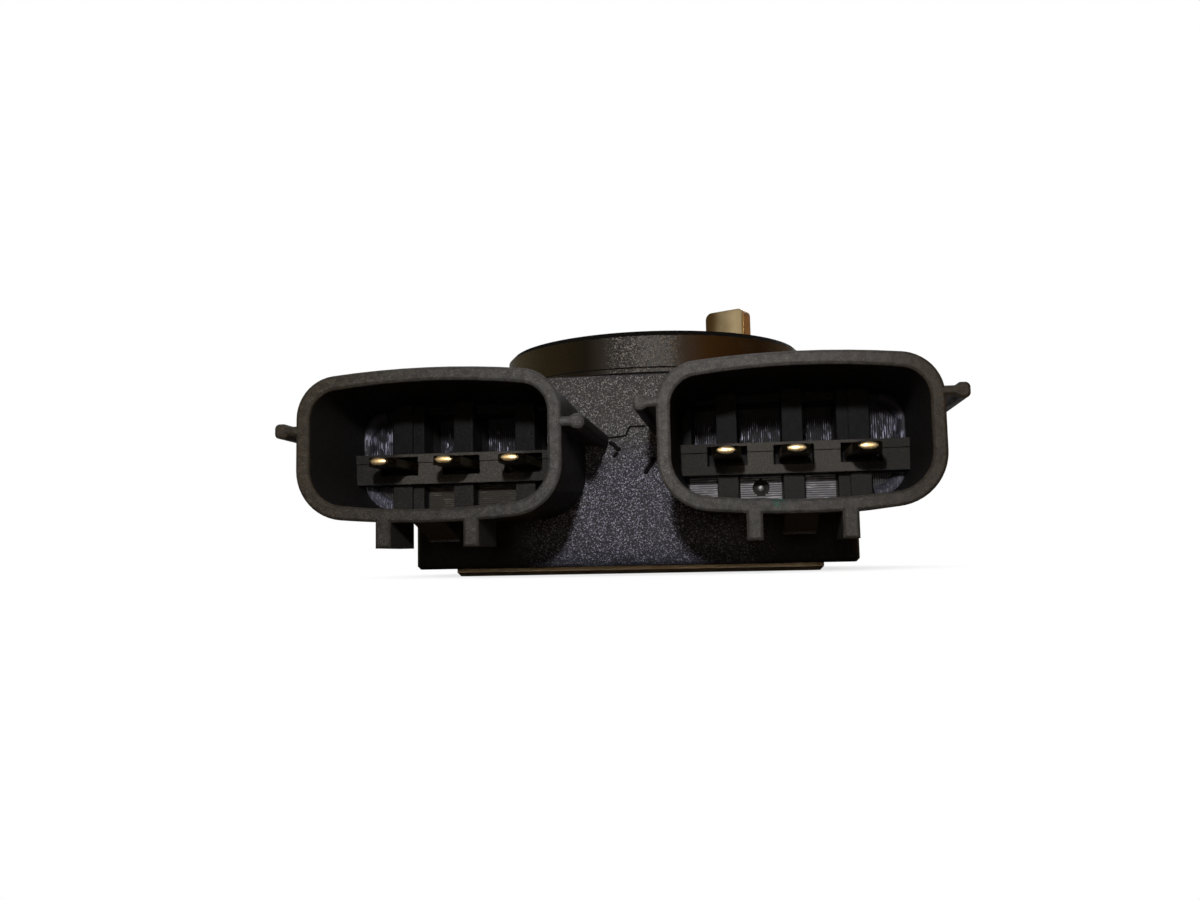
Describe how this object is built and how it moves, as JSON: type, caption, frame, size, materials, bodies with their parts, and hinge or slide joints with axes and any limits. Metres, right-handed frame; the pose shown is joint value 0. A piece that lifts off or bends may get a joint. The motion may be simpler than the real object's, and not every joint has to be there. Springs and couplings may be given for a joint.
{
  "type": "throttle position sensor",
  "caption": "Moulded black rotary sensor with a round pilot boss, a spring-returned drive tang and twin blade connectors on one side.",
  "frame": {"origin": "on the rotor axis, in the bottom face of the cover plate that the part rests on", "axes": "+Z along the rotor axis towards the pilot boss and tang, -Y out of the connector mouths, +X to the right as seen from the mouths"},
  "size_m": [0.0566, 0.0476, 0.0255],
  "materials": {
    "black_moulding": "fine spark-eroded matt",
    "tan_cover": "satin",
    "seal_resin": "matt",
    "plated_steel": "satin, warm passivated zinc",
    "bright_steel": "turned",
    "spring_steel": "drawn wire",
    "bronze": "sintered",
    "blade_brass": "bright plated",
    "carrier_plastic": "matt",
    "board": "laminate"
  },
  "bodies": {
    "sensor_body": {"housing": "black_moulding", "cover_plate": "tan_cover", "cover_seal": "seal_resin", "mount_sleeve_left": "bright_steel", "mount_sleeve_right": "bright_steel", "terminal_left_1": "blade_brass", "terminal_left_2": "blade_brass", "terminal_left_3": "blade_brass", "terminal_right_1": "blade_brass", "terminal_right_2": "blade_brass", "terminal_right_3": "blade_brass", "track_board": "board", "bearing_bush": "bronze", "thrust_washer": "bright_steel", "return_spring": "spring_steel"},
    "rotor": {"rotor_shaft": "bright_steel", "drive_lever": "plated_steel", "retaining_clip": "spring_steel", "wiper_carrier": "carrier_plastic", "sensor_brush": "blade_brass", "switch_brush": "blade_brass"}
  },
  "joints": [
    {"name": "rotor_turn", "type": "hinge", "parent": "sensor_body", "child": "rotor", "pos_m": [0, 0, 0.013], "axis": [0, 0, 1], "range_deg": [0, 95], "stiffness_Nm_per_rad": 0.009, "springref_deg": -91.67, "deforming": ["return_spring"]}
  ]
}
